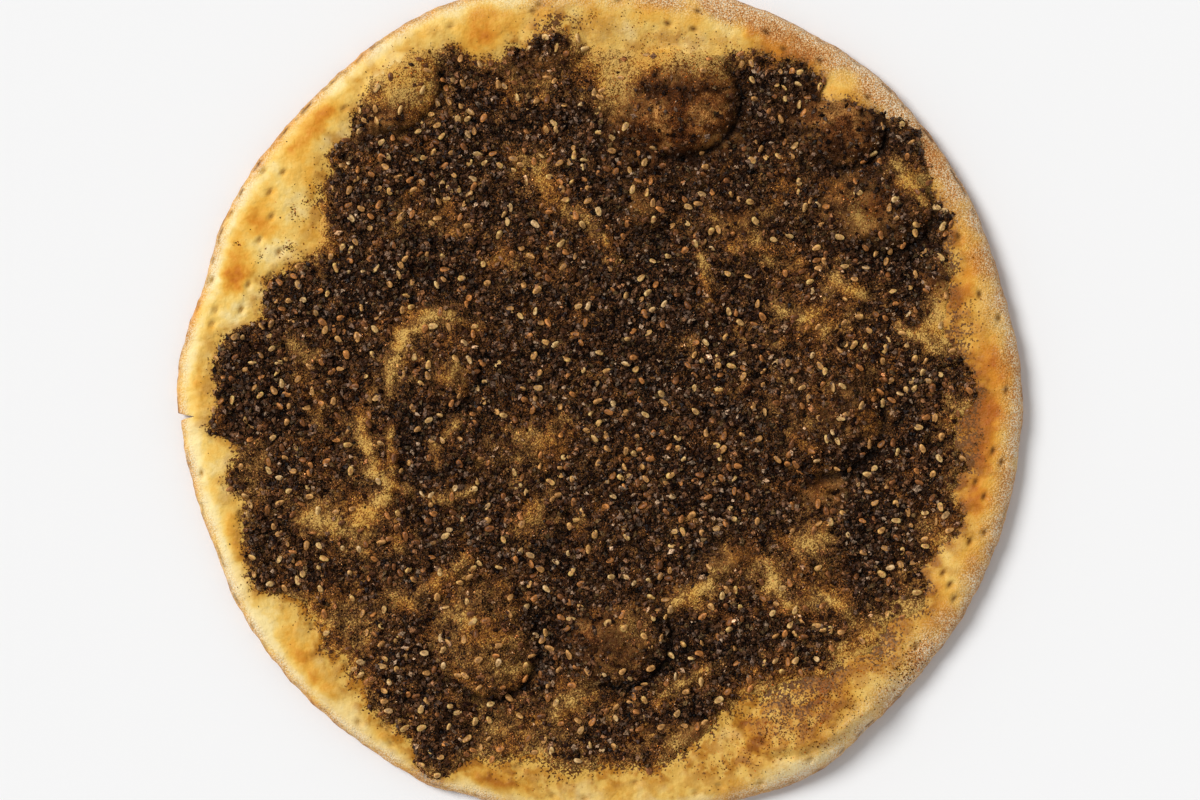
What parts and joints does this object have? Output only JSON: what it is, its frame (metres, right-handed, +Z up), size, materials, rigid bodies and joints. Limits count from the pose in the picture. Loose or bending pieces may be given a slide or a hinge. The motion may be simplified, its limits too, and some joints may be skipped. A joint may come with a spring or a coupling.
{
  "type": "manakish",
  "caption": "Round baked flatbread with a puffed rim, blisters and a ragged spread of za'atar and sesame seeds, flat underneath so that it rests on a table or plate.",
  "frame": {"origin": "under the middle of the bread's outline, on the flat face that it rests on", "axes": "+Z up, out of the face with the topping; +X to the right and +Y away from the viewer in a view straight down"},
  "size_m": [0.2608, 0.2592, 0.0152],
  "materials": {
    "baked_crust": "baked wheat dough, dry and matt, pale yellow with toasted orange-brown patches and a floury rim",
    "zaatar": "dark brown-green crumbs of herbs in oil with tan sesame seeds, coarse, with a faint oily sheen"
  },
  "bodies": {
    "root": {"bread": "baked_crust", "zaatar_topping": "zaatar"}
  },
  "joints": []
}
